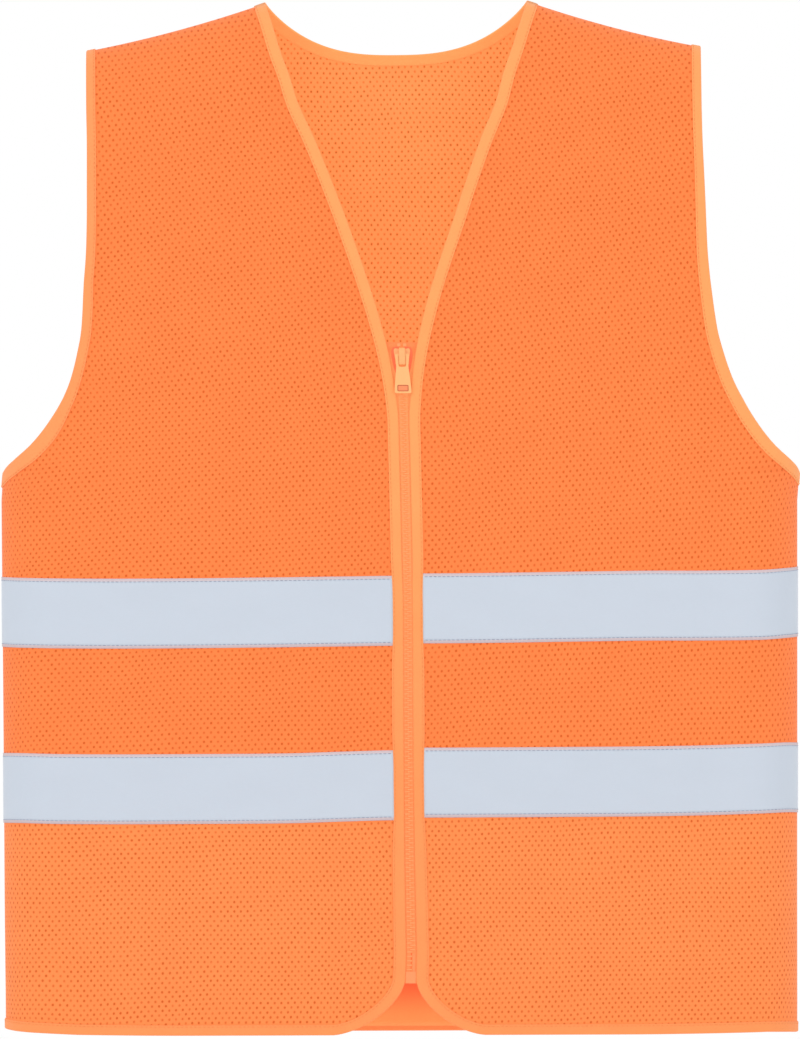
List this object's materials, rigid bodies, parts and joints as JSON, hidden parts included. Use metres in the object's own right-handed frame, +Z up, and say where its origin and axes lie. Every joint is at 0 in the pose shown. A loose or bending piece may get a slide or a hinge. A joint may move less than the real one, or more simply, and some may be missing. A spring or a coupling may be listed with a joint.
{
  "type": "high visibility vest",
  "caption": "Sleeveless orange mesh safety vest with folded bindings, wide reflective tapes and an open-ended front zip whose flaps swing open.",
  "frame": {"origin": "midway between the two neck points, in the plane of the side seams, where the vest hangs on its wearer's shoulders", "axes": "+Z up, +X towards the wearer's left, the front with its zip faces -Y"},
  "size_m": [0.5777, 0.0874, 0.7465],
  "materials": {
    "orange_mesh": "fine knitted polyester mesh, matt, fluorescent orange",
    "orange_binding": "plain woven folded binding, matt, paler orange",
    "reflective_tape": "silver retroreflective fabric, satin",
    "orange_plastic": "moulded plastic, semi-matt",
    "orange_pull": "moulded plastic, semi-gloss"
  },
  "bodies": {
    "garment": {"back_panel": "orange_mesh", "upper_tape_back": "reflective_tape", "lower_tape_back": "reflective_tape", "hem_binding_back": "orange_binding", "hem_facing_back": "orange_mesh", "neck_binding": "orange_binding", "front_panel_left_side": "orange_mesh", "upper_tape_left_side": "reflective_tape", "lower_tape_left_side": "reflective_tape", "hem_binding_left": "orange_binding", "armhole_binding_left": "orange_binding", "front_panel_right_side": "orange_mesh", "upper_tape_right_side": "reflective_tape", "lower_tape_right_side": "reflective_tape", "hem_binding_right": "orange_binding", "armhole_binding_right": "orange_binding"},
    "flap_left": {"front_panel_left_flap": "orange_mesh", "upper_tape_left_flap": "reflective_tape", "lower_tape_left_flap": "reflective_tape", "front_binding_left": "orange_binding", "zip_tape_left": "orange_binding", "zip_teeth_left": "orange_plastic", "zip_top_stop_left": "orange_plastic", "zip_pin": "orange_plastic"},
    "flap_right": {"front_panel_right_flap": "orange_mesh", "upper_tape_right_flap": "reflective_tape", "lower_tape_right_flap": "reflective_tape", "front_binding_right": "orange_binding", "zip_tape_right": "orange_binding", "zip_teeth_right": "orange_plastic", "zip_top_stop_right": "orange_plastic", "zip_box": "orange_plastic"},
    "slider": {"zip_slider": "orange_plastic", "slider_bridge": "orange_plastic"},
    "pull": {"zip_pull": "orange_pull"}
  },
  "joints": [
    {"name": "flap_left_fold", "type": "hinge", "parent": "garment", "child": "flap_left", "pos_m": [0.05039, -0.0418, -0.126], "axis": [-0.2921, 0, 0.9564], "range_deg": [0, 120], "deforming": ["zip_teeth_left", "zip_tape_left", "front_binding_left", "zip_pin"]},
    {"name": "flap_right_fold", "type": "hinge", "parent": "garment", "child": "flap_right", "pos_m": [-0.05161, -0.0418, -0.126], "axis": [-0.2854, 0, -0.9584], "range_deg": [0, 120], "deforming": ["zip_teeth_right", "zip_tape_right", "front_binding_right"]},
    {"name": "slider_travel", "type": "slide", "parent": "flap_right", "child": "slider", "axis": [0.0158, 0, -0.9999], "range_m": [0, 0.42]},
    {"name": "pull_swing", "type": "hinge", "parent": "slider", "child": "pull", "pos_m": [0.0014, -0.043, -0.2534], "axis": [-1, 0, 0], "range_deg": [0, 165]}
  ]
}
